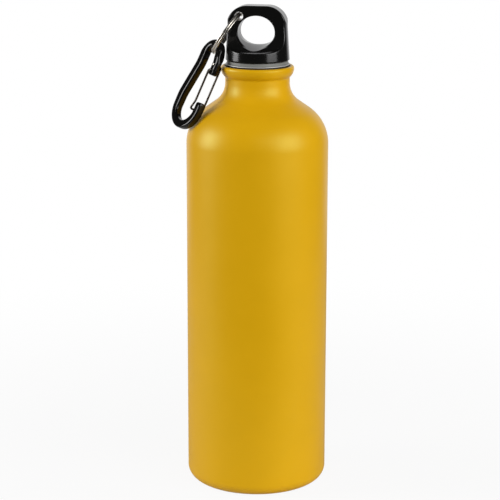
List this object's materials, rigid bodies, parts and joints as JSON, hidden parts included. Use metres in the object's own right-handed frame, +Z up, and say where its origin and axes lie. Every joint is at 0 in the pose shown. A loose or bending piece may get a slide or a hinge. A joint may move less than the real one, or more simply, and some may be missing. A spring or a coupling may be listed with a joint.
{
  "type": "aluminium water bottle",
  "caption": "Single-wall metal sports bottle with a narrow neck, a screw cap with a carry loop, a split ring and a wire-gate carabiner.",
  "frame": {"origin": "middle of the base, in the plane that the bottle stands on", "axes": "+Z up along the bottle's axis, -Y to the front of the cap, +X to the right"},
  "size_m": [0.0802, 0.073, 0.2512],
  "materials": {
    "powder_coat": "matte yellow powder coat over aluminium",
    "bare_aluminium": "turned, bare",
    "grey_seal": "soft grey silicone",
    "plug_plastic": "black moulded plastic",
    "cap_plastic": "gloss black moulded plastic",
    "ring_steel": "plated spring steel",
    "black_anodised": "black anodised rod",
    "gate_wire": "dark spring wire"
  },
  "bodies": {
    "bottle": {"bottle_shell": "powder_coat", "neck_thread_ring": "bare_aluminium"},
    "seal": {"seal_ring": "grey_seal"},
    "cap": {"cap_loop": "cap_plastic", "cap_plug": "plug_plastic"},
    "ring": {"split_ring": "ring_steel"},
    "carabiner": {"carabiner_frame": "black_anodised"},
    "gate": {"carabiner_gate": "gate_wire"}
  },
  "joints": [
    {"name": "cap_lift", "type": "slide", "parent": "bottle", "child": "seal", "axis": [0, 0, 1], "range_m": [0, 0.012]},
    {"name": "cap_turn", "type": "hinge", "parent": "seal", "child": "cap", "pos_m": [0, 0, 0.22364], "axis": [0, 0, 1], "range_deg": [0, 1080]},
    {"name": "ring_swing", "type": "hinge", "parent": "cap", "child": "ring", "pos_m": [-0.00877, 0.00154, 0.24594], "axis": [0.1736, 0.9848, 0], "range_deg": [0, 110]},
    {"name": "carabiner_swing", "type": "hinge", "parent": "ring", "child": "carabiner", "pos_m": [-0.02302, 0.00026, 0.22581], "axis": [0.7258, 0.531, -0.4374], "range_deg": [0, 60]},
    {"name": "gate_open", "type": "hinge", "parent": "carabiner", "child": "gate", "pos_m": [-0.02144, -0.00671, 0.21998], "axis": [0.7258, 0.531, -0.4374], "range_deg": [0, 20], "stiffness_Nm_per_rad": 0.05, "springref_deg": -8.59}
  ],
  "couplings": [
    {"joint": "cap_turn", "follows": "cap_lift", "rad_per_m": 1570.8}
  ]
}
